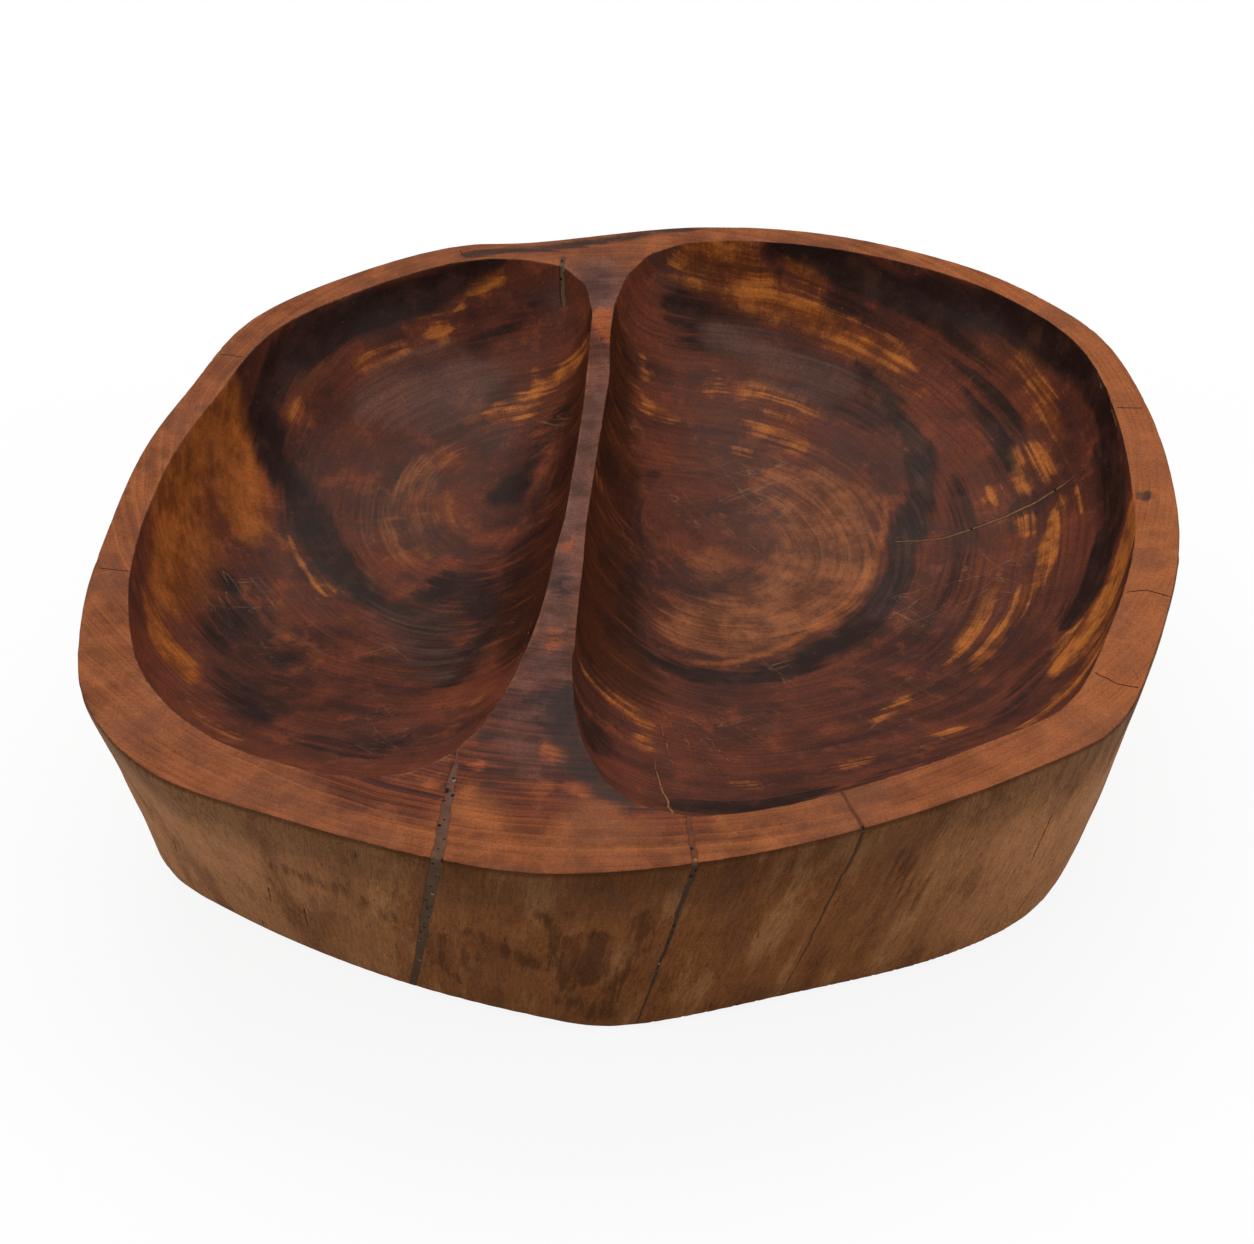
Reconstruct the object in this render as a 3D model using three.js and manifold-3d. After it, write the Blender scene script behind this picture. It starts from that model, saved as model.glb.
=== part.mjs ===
// Appetizer dish with two bays, carved by hand from one cross-cut slice of a forked hardwood trunk.
// Millimetres, +Z up. The dish stands on Z = 0, and the origin lies under the middle of its rim.
// Seen from the front, where the ridge between the bays runs out widest, +X is right and +Y is back.

import * as THREE from "three";
import { mergeVertices } from "three/addons/utils/BufferGeometryUtils.js";
import Module from "manifold-3d";

// Overall size, and the smaller base with the place of its middle
const DISH_WIDTH = 284;
const DISH_LENGTH = 286;
const DISH_HEIGHT = 72;
const BASE_WIDTH = 255;
const BASE_LENGTH = 246;
const BASE_X = -2;
const BASE_Y = 1;

// Eased edges of the outer wall
const FOOT_EASE = 5;
const RIM_EASE = 2;

// Flat rim: its width at eight points round the dish
const RIM_WIDTH_RIGHT = 12;
const RIM_WIDTH_BACK_RIGHT = 7.5;
const RIM_WIDTH_BACK = 8.5;
const RIM_WIDTH_BACK_LEFT = 9.5;
const RIM_WIDTH_LEFT = 9;
const RIM_WIDTH_FRONT_LEFT = 19;
const RIM_WIDTH_FRONT = 14;
const RIM_WIDTH_FRONT_RIGHT = 14.5;

// Ridge between the bays: its crest, its turn from the Y axis in degrees, and the dip in its crest
const RIDGE_WIDTH = 5;
const RIDGE_OFFSET = -18;
const RIDGE_SKEW = 4.7;
const RIDGE_DIP = 8;
const RIDGE_REACH = 28;
const DIP_TO_BACK_WALL = 34;
const DIP_BACK_RISE = 26;
const DIP_TO_FRONT_WALL = 34;
const DIP_FRONT_RISE = 70;

// Bays: depth below the rim, the lowest point's distance from the dish's side and from its middle
// towards the back, and the eased edge
const LEFT_BAY_DEPTH = 40;
const LEFT_BAY_FROM_SIDE = 67;
const LEFT_BAY_Y = 8;
const RIGHT_BAY_DEPTH = 42;
const RIGHT_BAY_FROM_SIDE = 84;
const RIGHT_BAY_Y = 8;
const BAY_EASE = 1.5;

// Fullness of a bay's wall towards each side: 2 is a round bowl, less is a slope, more is a steep wall
const RIDGE_FULLNESS = 2.5;
const SIDE_FULLNESS = 2.2;
const BACK_FULLNESS = 2.1;
const FRONT_FULLNESS = 1.5;

// Tightness of the bays' corners where the ridge meets the rim, and how softly back turns into front
const LEFT_BACK_CORNER = 5;
const LEFT_FRONT_CORNER = 2.3;
const RIGHT_BACK_CORNER = 9;
const RIGHT_FRONT_CORNER = 3.4;
const CORNER_BLEND = 0.3;

// Drying checks through the wall lean with the grain, by degrees. Each starts at a bearing on the rim
// and runs inwards for its length, turned from the way to the middle, and narrows as it goes.
const GRAIN_LEAN = 10;
const FRONT_LEFT_CHECK_BEARING = -109.2;
const FRONT_LEFT_CHECK_TURN = 13.3;
const FRONT_LEFT_CHECK_LENGTH = 38.5;
const FRONT_LEFT_CHECK_OUTER_WIDTH = 3.2;
const FRONT_LEFT_CHECK_INNER_WIDTH = 2;
const FRONT_CENTRE_CHECK_BEARING = -85;
const FRONT_CENTRE_CHECK_TURN = -0.5;
const FRONT_CENTRE_CHECK_LENGTH = 66;
const FRONT_CENTRE_CHECK_OUTER_WIDTH = 1.3;
const FRONT_CENTRE_CHECK_INNER_WIDTH = 1;
const FRONT_RIGHT_CHECK_BEARING = -67.9;
const FRONT_RIGHT_CHECK_TURN = -3.3;
const FRONT_RIGHT_CHECK_LENGTH = 17;
const FRONT_RIGHT_CHECK_OUTER_WIDTH = 1.2;
const FRONT_RIGHT_CHECK_INNER_WIDTH = 1;

// Shallow check down the left bay's back corner: its start from where the ridge meets the back wall,
// its length, its depth below the rim, and its bends as shares of the length
const BACK_CHECK_X = -15.2;
const BACK_CHECK_Y = -5;
const BACK_CHECK_LENGTH = 12;
const BACK_CHECK_WIDTH = 1.5;
const BACK_CHECK_DEPTH = 22;
const BACK_CHECK_BENDS = [[0, 0], [-0.05, -0.4], [0.02, -1]];

// Shallow check across the right bay: its start from the bay's lowest point, its length, its depth
// below that point, and its bends as shares of the length
const RIGHT_BAY_CHECK_X = 13.5;
const RIGHT_BAY_CHECK_Y = 32;
const RIGHT_BAY_CHECK_LENGTH = 50;
const RIGHT_BAY_CHECK_WIDTH = 1.2;
const RIGHT_BAY_CHECK_DEPTH = 6;
const RIGHT_BAY_CHECK_BENDS = [[0, 0], [0.25, -0.01], [0.5, 0.04], [0.8, 0.09], [1, 0.115]];

// Room left round the filler
const FILLER_CLEARANCE = 0.3;

// Smoothness of the outline and of the bays
const TRACE_STEPS = 400;
const RIM_STEPS = 108;
const BAY_STEPS = 72;
const BAY_RINGS = 14;
const ROUNDING_STEPS = 7;
const EASE_STEPS = 3;
const CHECK_STEPS = 6;

// Cutters stand this far proud of what they cut
const OVERCUT = 2;

// Shapes of the slice's two faces, seen from above: they keep the lobes of the forked trunk
const RIM_TRACE = [
  [141.7, 6], [140, 44], [131, 82], [117.5, 101.5], [97, 120], [57, 138.5], [18, 143],
  [-33, 134], [-53, 132.5], [-83, 117], [-111, 92], [-125, 56.5], [-134, 28], [-139.5, -11],
  [-141.5, -43], [-136.5, -79], [-118, -106], [-83, -124], [-43, -139], [-20, -142.7],
  [17, -138], [57, -124.7], [97, -103.5], [115, -90], [129.5, -56], [139.5, -18],
];
const BASE_TRACE = [
  [122, 5], [119, 38], [108, 70], [84, 102], [50, 117], [15, 121], [-38, 112], [-73, 98],
  [-97, 77], [-112, 40], [-123, -8], [-126, -40], [-119.5, -63.5], [-101, -79], [-63, -101],
  [-25, -115], [-8, -118.5], [37, -107], [76, -93.5], [97, -79], [109.5, -58], [121, -25],
];

const wood = new THREE.MeshStandardMaterial({ color: 0x6f3b22, roughness: 0.45, metalness: 0 });
const grit = new THREE.MeshStandardMaterial({ color: 0x4f4a41, roughness: 0.85, metalness: 0 });

const wasm = await Module();
wasm.setup();

function solid(geometry) {
  geometry.deleteAttribute("normal");
  geometry.deleteAttribute("uv");
  const merged = mergeVertices(geometry);
  const vertProperties = new Float32Array(merged.attributes.position.array);
  const triVerts = new Uint32Array(merged.index.array);
  return new wasm.Manifold(new wasm.Mesh({ numProp: 3, vertProperties, triVerts }));
}

function part(name, shape, material) {
  const { vertProperties, triVerts } = shape.getMesh();
  const geometry = new THREE.BufferGeometry();
  geometry.setAttribute("position", new THREE.BufferAttribute(vertProperties, 3));
  geometry.setIndex(new THREE.BufferAttribute(triVerts, 1));
  geometry.computeVertexNormals();
  const mesh = new THREE.Mesh(geometry, material);
  mesh.name = name;
  return mesh;
}

// Closed skin over rings of points, from the pole on top to the pole underneath
function skin(rings) {
  const steps = rings[0].length;
  const geometry = new THREE.SphereGeometry(1, steps, rings.length - 1);
  const position = geometry.attributes.position;
  rings.forEach((ring, row) => {
    for (let step = 0; step <= steps; step += 1) {
      const { x, y, z } = ring[step % steps];
      position.setXYZ(row * (steps + 1) + step, x, y, z);
    }
  });
  return geometry;
}

// Distance from a point to a closed outline, along a direction
function reach(from, toward, outline) {
  let nearest = Infinity;
  outline.forEach((start, index) => {
    const side = outline[(index + 1) % outline.length].clone().sub(start);
    const gap = start.clone().sub(from);
    const turn = toward.cross(side);
    const distance = gap.cross(side) / turn;
    const share = gap.cross(toward) / turn;
    if (distance > 0 && share >= 0 && share <= 1) {
      nearest = Math.min(nearest, distance);
    }
  });
  return nearest;
}

// Directions spread evenly round the compass, from the right
function bearings(count) {
  return Array.from({ length: count }, (_, step) => {
    const angle = (step / count) * 2 * Math.PI;
    return new THREE.Vector2(Math.cos(angle), Math.sin(angle));
  });
}

const centre = new THREE.Vector2();

// Smooth outline through a trace, brought to its width and length about its own middle
function outline(trace, width, length) {
  const curve = new THREE.CatmullRomCurve3(trace.map(([x, y]) => new THREE.Vector3(x, y, 0)), true);
  const traced = curve.getSpacedPoints(TRACE_STEPS).slice(0, TRACE_STEPS);
  const loop = traced.map(({ x, y }) => new THREE.Vector2(x, y));
  const points = bearings(RIM_STEPS).map((toward) => toward.multiplyScalar(reach(centre, toward, loop)));
  const box = new THREE.Box2().setFromPoints(points);
  const middle = box.getCenter(new THREE.Vector2());
  const scale = new THREE.Vector2(width, length).divide(box.getSize(new THREE.Vector2()));
  return points.map((point) => point.sub(middle).multiply(scale));
}

function drawnIn(point, inset) {
  return point.clone().setLength(point.length() - inset);
}

// Blank: the slice, from the rim to the smaller base, with both edges eased
const rim = outline(RIM_TRACE, DISH_WIDTH, DISH_LENGTH);
const base = outline(BASE_TRACE, BASE_WIDTH, BASE_LENGTH);
const baseMiddle = new THREE.Vector2(BASE_X, BASE_Y);

function blank() {
  const profile = new THREE.Path();
  profile.moveTo(RIM_EASE, DISH_HEIGHT);
  profile.quadraticCurveTo(0, DISH_HEIGHT, 0, DISH_HEIGHT - RIM_EASE);
  profile.lineTo(0, FOOT_EASE);
  profile.quadraticCurveTo(0, 0, FOOT_EASE, 0);
  const rings = profile.getPoints(EASE_STEPS).map(({ x: inset, y: height }) => {
    const fall = Math.max(1 - height / (DISH_HEIGHT - RIM_EASE), 0);
    return rim.map((point, step) => {
      const wall = drawnIn(point.clone().lerp(base[step], fall), inset).addScaledVector(baseMiddle, fall);
      return new THREE.Vector3(wall.x, wall.y, height);
    });
  });
  const top = rim.map(() => new THREE.Vector3(0, 0, DISH_HEIGHT));
  const underside = rim.map(() => new THREE.Vector3(BASE_X, BASE_Y, 0));
  return solid(skin([top, ...rings, underside]));
}

// Inner edge of the rim, eased from one compass width to the next
const RIM_WIDTHS = [
  RIM_WIDTH_RIGHT, RIM_WIDTH_BACK_RIGHT, RIM_WIDTH_BACK, RIM_WIDTH_BACK_LEFT,
  RIM_WIDTH_LEFT, RIM_WIDTH_FRONT_LEFT, RIM_WIDTH_FRONT, RIM_WIDTH_FRONT_RIGHT,
];
const innerRim = rim.map((point) => {
  const turn = (point.angle() / (2 * Math.PI)) * RIM_WIDTHS.length;
  const station = Math.floor(turn);
  const share = THREE.MathUtils.smoothstep(turn - station, 0, 1);
  const from = RIM_WIDTHS[station % RIM_WIDTHS.length];
  const to = RIM_WIDTHS[(station + 1) % RIM_WIDTHS.length];
  return drawnIn(point, THREE.MathUtils.lerp(from, to, share));
});

const skew = THREE.MathUtils.degToRad(RIDGE_SKEW);
const ridgeFoot = new THREE.Vector2(RIDGE_OFFSET, 0);
const ridgeLine = new THREE.Vector2(Math.sin(skew), Math.cos(skew));
const ridgeNormal = new THREE.Vector2(Math.cos(skew), -Math.sin(skew));

// Bay: a bowl about its lowest point, rounded into the corners between the ridge and the inner rim
function bay(lowest, depth, backCorner, frontCorner) {
  const offset = lowest.clone().sub(ridgeFoot).dot(ridgeNormal);
  const toRidge = ridgeNormal.clone().multiplyScalar(-Math.sign(offset));
  const crestGap = Math.abs(offset) - RIDGE_WIDTH / 2;
  const spokes = bearings(BAY_STEPS).map((toward) => {
    const lengthwise = toward.y > 0 ? BACK_FULLNESS : FRONT_FULLNESS;
    const crosswise = toward.dot(toRidge) > 0 ? RIDGE_FULLNESS : SIDE_FULLNESS;
    const fullness = THREE.MathUtils.lerp(crosswise, lengthwise, toward.y * toward.y);
    const back = THREE.MathUtils.smoothstep(toward.y, -CORNER_BLEND, CORNER_BLEND);
    const corner = THREE.MathUtils.lerp(frontCorner, backCorner, back);
    const atCrest = (1 - (RIDGE_DIP / depth) ** fullness) ** (1 / fullness);
    const nearness = Math.max(toward.dot(toRidge), 0) * atCrest / crestGap;
    const length = (reach(lowest, toward, innerRim) ** -corner + nearness ** corner) ** (-1 / corner);
    return { toward, length, fullness };
  });
  spokes.forEach((spoke, step) => {
    let sum = 0;
    for (let shift = -ROUNDING_STEPS; shift <= ROUNDING_STEPS; shift += 1) {
      sum += spokes[(step + shift + BAY_STEPS) % BAY_STEPS].length;
    }
    spoke.rounded = sum / (2 * ROUNDING_STEPS + 1);
  });
  const ring = (place) => spokes.map((spoke) => {
    const { out, down } = place(spoke);
    const { x, y } = spoke.toward.clone().multiplyScalar(out).add(lowest);
    return new THREE.Vector3(x, y, DISH_HEIGHT - down);
  });
  const rings = [
    ring(() => ({ out: 0, down: -OVERCUT })),
    ring(({ length }) => ({ out: length + BAY_EASE + OVERCUT, down: -OVERCUT })),
    ring(({ length }) => ({ out: length, down: BAY_EASE })),
  ];
  for (let row = 1; row <= BAY_RINGS; row += 1) {
    const swing = (row / BAY_RINGS) * Math.PI / 2;
    const inner = row < BAY_RINGS ? Math.cos(swing) : 0;
    rings.push(ring(({ length, rounded, fullness }) => ({
      out: THREE.MathUtils.lerp(rounded, length, Math.cos(swing)) * inner ** (2 / fullness),
      down: depth * Math.sin(swing) ** (2 / fullness),
    })));
  }
  return solid(skin(rings));
}

// Point where the line of the ridge meets the inner rim, at the back (1) or at the front (-1)
function ridgeEnd(side) {
  const toward = ridgeLine.clone().multiplyScalar(side);
  return ridgeFoot.clone().addScaledVector(toward, reach(ridgeFoot, toward, innerRim));
}

// Dip in the ridge's crest, short and steep at the back and long at the front
function ridgeDip() {
  const back = ridgeEnd(1).distanceTo(ridgeFoot) - DIP_TO_BACK_WALL;
  const front = DIP_TO_FRONT_WALL - ridgeEnd(-1).distanceTo(ridgeFoot);
  const crest = DISH_HEIGHT - RIDGE_DIP;
  const shape = new THREE.Shape();
  shape.moveTo(front, DISH_HEIGHT);
  shape.bezierCurveTo(
    front + DIP_FRONT_RISE / 2, DISH_HEIGHT,
    front + DIP_FRONT_RISE / 2, crest,
    front + DIP_FRONT_RISE, crest,
  );
  shape.lineTo(back - DIP_BACK_RISE, crest);
  shape.bezierCurveTo(
    back - DIP_BACK_RISE / 2, crest,
    back - DIP_BACK_RISE / 2, DISH_HEIGHT,
    back, DISH_HEIGHT,
  );
  shape.lineTo(back, DISH_HEIGHT + OVERCUT);
  shape.lineTo(front, DISH_HEIGHT + OVERCUT);
  const geometry = new THREE.ExtrudeGeometry(shape, { depth: 2 * RIDGE_REACH, bevelEnabled: false });
  geometry.translate(0, 0, -RIDGE_REACH);
  geometry.applyMatrix4(new THREE.Matrix4().makeBasis(
    new THREE.Vector3(ridgeLine.x, ridgeLine.y, 0),
    new THREE.Vector3(0, 0, 1),
    new THREE.Vector3(ridgeNormal.x, ridgeNormal.y, 0),
  ));
  geometry.translate(ridgeFoot.x, ridgeFoot.y, 0);
  return solid(geometry);
}

// Slab along a path in plan, from a height up through the rim, grown all round and leaning with the grain
function slab({ path, startWidth, endWidth, foot, lean }, grow) {
  const curve = new THREE.SplineCurve(path);
  const near = [];
  const far = [];
  for (let step = 0; step <= CHECK_STEPS; step += 1) {
    const share = step / CHECK_STEPS;
    const tangent = curve.getTangent(share);
    const end = Math.sign(share - 0.5) * (step % CHECK_STEPS === 0 ? grow : 0);
    const middle = curve.getPoint(share).addScaledVector(tangent, end);
    const half = THREE.MathUtils.lerp(startWidth, endWidth, share) / 2 + grow;
    const across = new THREE.Vector2(-tangent.y, tangent.x).multiplyScalar(half);
    near.push(middle.clone().sub(across));
    far.unshift(middle.clone().add(across));
  }
  const depth = DISH_HEIGHT + OVERCUT - foot + grow;
  const plan = new THREE.Shape([...near, ...far]);
  const geometry = new THREE.ExtrudeGeometry(plan, { depth, bevelEnabled: false });
  geometry.translate(0, 0, foot - grow - DISH_HEIGHT);
  geometry.applyMatrix4(new THREE.Matrix4().makeShear(0, 0, 0, 0, Math.tan(lean), 0));
  geometry.translate(0, 0, DISH_HEIGHT);
  return solid(geometry);
}

function wallCheck(name, bearing, turn, length, outerWidth, innerWidth) {
  const outward = new THREE.Vector2(1, 0).rotateAround(centre, THREE.MathUtils.degToRad(bearing));
  const inward = outward.clone().negate().rotateAround(centre, THREE.MathUtils.degToRad(turn));
  const start = outward.clone().multiplyScalar(reach(centre, outward, rim));
  return {
    name,
    path: [-OVERCUT, length].map((along) => start.clone().addScaledVector(inward, along)),
    startWidth: outerWidth,
    endWidth: innerWidth,
    foot: -OVERCUT,
    lean: THREE.MathUtils.degToRad(GRAIN_LEAN),
  };
}

function shallowCheck(name, start, length, bends, width, foot) {
  const path = bends.map(([x, y]) => new THREE.Vector2(x, y).multiplyScalar(length).add(start));
  return { name, path, startWidth: width, endWidth: width, foot, lean: 0 };
}

const leftLowest = new THREE.Vector2(LEFT_BAY_FROM_SIDE - DISH_WIDTH / 2, LEFT_BAY_Y);
const rightLowest = new THREE.Vector2(DISH_WIDTH / 2 - RIGHT_BAY_FROM_SIDE, RIGHT_BAY_Y);
const checks = [
  wallCheck(
    "front_left_check_filler", FRONT_LEFT_CHECK_BEARING, FRONT_LEFT_CHECK_TURN,
    FRONT_LEFT_CHECK_LENGTH, FRONT_LEFT_CHECK_OUTER_WIDTH, FRONT_LEFT_CHECK_INNER_WIDTH,
  ),
  wallCheck(
    "front_centre_check_filler", FRONT_CENTRE_CHECK_BEARING, FRONT_CENTRE_CHECK_TURN,
    FRONT_CENTRE_CHECK_LENGTH, FRONT_CENTRE_CHECK_OUTER_WIDTH, FRONT_CENTRE_CHECK_INNER_WIDTH,
  ),
  wallCheck(
    "front_right_check_filler", FRONT_RIGHT_CHECK_BEARING, FRONT_RIGHT_CHECK_TURN,
    FRONT_RIGHT_CHECK_LENGTH, FRONT_RIGHT_CHECK_OUTER_WIDTH, FRONT_RIGHT_CHECK_INNER_WIDTH,
  ),
  shallowCheck(
    "back_check_filler", ridgeEnd(1).add(new THREE.Vector2(BACK_CHECK_X, BACK_CHECK_Y)),
    BACK_CHECK_LENGTH, BACK_CHECK_BENDS, BACK_CHECK_WIDTH, DISH_HEIGHT - BACK_CHECK_DEPTH,
  ),
  shallowCheck(
    "right_bay_check_filler",
    new THREE.Vector2(RIGHT_BAY_CHECK_X, RIGHT_BAY_CHECK_Y).add(rightLowest),
    RIGHT_BAY_CHECK_LENGTH, RIGHT_BAY_CHECK_BENDS, RIGHT_BAY_CHECK_WIDTH,
    DISH_HEIGHT - RIGHT_BAY_DEPTH - RIGHT_BAY_CHECK_DEPTH,
  ),
];

// The body is the carved blank with the checks cut open, and each filler is flush with the carved surface
const carved = blank()
  .subtract(bay(leftLowest, LEFT_BAY_DEPTH, LEFT_BACK_CORNER, LEFT_FRONT_CORNER))
  .subtract(bay(rightLowest, RIGHT_BAY_DEPTH, RIGHT_BACK_CORNER, RIGHT_FRONT_CORNER))
  .subtract(ridgeDip());
const body = checks.reduce((shape, check) => shape.subtract(slab(check, FILLER_CLEARANCE)), carved);

const dish = new THREE.Group();
dish.add(part("dish_body", body, wood));
checks.forEach((check) => {
  dish.add(part(check.name, carved.intersect(slab(check, 0)), grit));
});

export default dish;
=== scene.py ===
import math

import bpy
import numpy as np
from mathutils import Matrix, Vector, noise as steady_noise
from mathutils.bvhtree import BVHTree


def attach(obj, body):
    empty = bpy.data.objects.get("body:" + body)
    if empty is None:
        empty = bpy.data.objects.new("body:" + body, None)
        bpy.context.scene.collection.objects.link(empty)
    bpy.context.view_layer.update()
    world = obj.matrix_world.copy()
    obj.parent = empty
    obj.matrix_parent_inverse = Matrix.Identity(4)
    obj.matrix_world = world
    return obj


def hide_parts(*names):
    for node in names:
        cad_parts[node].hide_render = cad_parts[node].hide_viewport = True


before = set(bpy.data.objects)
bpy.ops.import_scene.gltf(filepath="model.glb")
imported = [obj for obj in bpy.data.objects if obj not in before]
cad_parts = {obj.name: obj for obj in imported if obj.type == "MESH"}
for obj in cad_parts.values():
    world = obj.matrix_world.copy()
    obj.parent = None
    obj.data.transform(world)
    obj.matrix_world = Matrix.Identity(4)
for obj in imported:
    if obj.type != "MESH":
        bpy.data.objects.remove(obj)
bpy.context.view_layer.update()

# Camera: a long lens in front of the dish, looking down on it at the angle of the photograph,
# with the small shift that its framing needs.
bpy.ops.object.select_all(action="DESELECT")
camera_tilt = math.radians(38)
camera_distance = 0.9
camera_aim = Vector((-0.003, 0.004, 0.030))
camera_back = Vector((0, -math.cos(camera_tilt), math.sin(camera_tilt)))
bpy.ops.object.camera_add(
    location=camera_aim + camera_back * camera_distance,
    rotation=(math.pi / 2 - camera_tilt, 0, 0),
)
camera = bpy.context.active_object
camera.name = "dish_camera"
camera.data.sensor_width = 36
camera.data.lens = 94.82
photo_width_px = 1254
framing_shift_px = 3
camera.data.shift_x = -framing_shift_px / photo_width_px
camera.data.shift_y = framing_shift_px / photo_width_px
bpy.context.scene.camera = camera

# Dish body: one slice of a forked hardwood trunk, sawn across the grain, hollowed with gouges into
# two bays and sanded. The plain solid has its checks closed and its rim raised, is remeshed and
# smoothed with the slight waves of the gouge, and then gets its rim and ridge planed off crisply.
bpy.ops.object.select_all(action="DESELECT")
filler_names = [name for name in sorted(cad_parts) if name.endswith("_check_filler")]
for name in ["dish_body"] + filler_names:
    piece = bpy.data.objects.new("closed_" + name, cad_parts[name].data.copy())
    bpy.context.scene.collection.objects.link(piece)
    piece.data.materials.clear()
    piece.select_set(True)
dish = bpy.data.objects["closed_dish_body"]
bpy.context.view_layer.objects.active = dish
bpy.ops.object.join()
dish.name = "carved_dish"
bpy.ops.object.mode_set(mode="EDIT")
bpy.ops.mesh.select_all(action="SELECT")
bpy.ops.mesh.remove_doubles(threshold=0.00001)
bpy.ops.mesh.select_all(action="DESELECT")
bpy.ops.object.mode_set(mode="OBJECT")

rim_height = 0.072
ridge_dip = 0.008
ridge_foot = np.array([-0.018, 0.0])
ridge_skew = math.radians(4.7)
ridge_line = np.array([math.sin(ridge_skew), math.cos(ridge_skew)])
ridge_across = np.array([math.cos(ridge_skew), -math.sin(ridge_skew)])
ridge_reach = 0.028
dip_front_start, dip_front_end = -0.0937, -0.0237
dip_back_end, dip_back_start = 0.0710, 0.0970


def dip_share(share):
    """Share of the dip's depth along its curve, which leaves and meets the flats level."""
    steps = np.linspace(0, 1, 65)
    run = 1.5 * steps - 1.5 * steps**2 + steps**3
    fall = 3 * steps**2 - 2 * steps**3
    return np.interp(share, run, fall)


def planed_height(x, y):
    """Height of the planed rim, and of the ridge's crest where it dips."""
    along = (x - ridge_foot[0]) * ridge_line[0] + (y - ridge_foot[1]) * ridge_line[1]
    across = (x - ridge_foot[0]) * ridge_across[0] + (y - ridge_foot[1]) * ridge_across[1]
    front = dip_share((along - dip_front_start) / (dip_front_end - dip_front_start))
    back = dip_share((dip_back_start - along) / (dip_back_start - dip_back_end))
    near = np.abs(across) < ridge_reach
    return rim_height - ridge_dip * np.minimum(front, back) * near


def read_all(items, name, width=3, kind=float):
    """Array of one property of all vertices, edges, faces or corners of a mesh."""
    found = np.empty(len(items) * width, dtype=kind)
    items.foreach_get(name, found)
    return found.reshape(-1, width)


def places(piece):
    return read_all(piece.data.vertices, "co")


def put_places(piece, found):
    piece.data.vertices.foreach_set("co", np.ascontiguousarray(found).ravel())
    piece.data.update()


def pick(piece):
    bpy.ops.object.select_all(action="DESELECT")
    piece.select_set(True)
    bpy.context.view_layer.objects.active = piece


def apply_modifier(piece, kind, **settings):
    pick(piece)
    modifier = piece.modifiers.new(kind.lower(), kind)
    for setting, value in settings.items():
        setattr(modifier, setting, value)
    bpy.ops.object.modifier_apply(modifier=modifier.name)


def weigh(piece, name, shares):
    """Makes a vertex group with the given share for each vertex, in tenths."""
    group = piece.vertex_groups.new(name=name)
    tenths = np.round(shares * 10).astype(int)
    for tenth in range(1, 11):
        group.add(np.flatnonzero(tenths == tenth).tolist(), tenth / 10, "REPLACE")
    return group.name


def turn_at_vertices(piece):
    """Largest turn of the surface, in degrees, from each vertex to those beside it, and the edges."""
    ends = read_all(piece.data.edges, "vertices", 2, np.int32)
    normals = read_all(piece.data.vertices, "normal")
    cosines = (normals[ends[:, 0]] * normals[ends[:, 1]]).sum(axis=1)
    turns = np.degrees(np.arccos(np.clip(cosines, -1, 1)))
    largest = np.zeros(len(normals))
    for side in (0, 1):
        np.maximum.at(largest, ends[:, side], turns)
    return largest, ends


spare_height = 0.005
top_skin = 0.0003
found = places(dish)
on_top = found[:, 2] > planed_height(found[:, 0], found[:, 1]) - top_skin
found[on_top, 2] += spare_height
put_places(dish, found)
apply_modifier(dish, "REMESH", mode="VOXEL", voxel_size=0.00185)
apply_modifier(dish, "SMOOTH", factor=0.5, iterations=2)

turns, ends = turn_at_vertices(dish)
for _ in range(2):
    spread = turns.copy()
    np.maximum.at(spread, ends[:, 0], turns[ends[:, 1]])
    np.maximum.at(spread, ends[:, 1], turns[ends[:, 0]])
    turns = spread
base_edge, base_fade = 0.004, 0.006
crease_turn, crease_fade = 22, 10
off_the_base = np.clip((places(dish)[:, 2] - base_edge) / base_fade, 0, 1)
off_creases = np.clip((crease_turn - turns) / crease_fade, 0, 1)
broad = weigh(dish, "broad_faces", off_creases * off_the_base)
apply_modifier(dish, "SMOOTH", factor=0.5, iterations=18, vertex_group=broad)

gouge_waves = bpy.data.textures.new("gouge_waves", "CLOUDS")
gouge_waves.noise_scale = 0.026
gouge_waves.noise_depth = 1
apply_modifier(
    dish, "DISPLACE", texture=gouge_waves, texture_coords="LOCAL",
    strength=0.0009, mid_level=0.5, vertex_group=broad,
)

bpy.ops.object.select_all(action="DESELECT")
bpy.ops.mesh.primitive_grid_add(x_subdivisions=130, y_subdivisions=130, size=0.3)
plane_off = bpy.context.active_object
found = places(plane_off)
found[:, 2] = planed_height(found[:, 0], found[:, 1])
put_places(plane_off, found)
apply_modifier(plane_off, "SOLIDIFY", thickness=0.02, offset=1)
apply_modifier(dish, "BOOLEAN", operation="DIFFERENCE", object=plane_off, solver="MANIFOLD")
bpy.data.objects.remove(plane_off)

# Filled checks: cracks from drying that run through the wood, cleaned out and pressed full of a dark
# gritty filler, then sanded flush. Each is a wavy sheet given its thickness; the dish loses the
# sheet's solid, and the bead is the part of a slightly thinner one that lies inside the dish.
whole_dish = dish.copy()
whole_dish.data = dish.data.copy()
whole_dish.name = "whole_dish"
bpy.context.scene.collection.objects.link(whole_dish)

mm = 0.001
lean_slope = math.tan(math.radians(10))
sheet_step = 1.2
slimmest = 0.2
bead_room = 0.08
check_wobble = bpy.data.textures.new("check_wobble", "CLOUDS")
check_wobble.noise_scale = 0.006
check_wobble.noise_depth = 2


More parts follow.
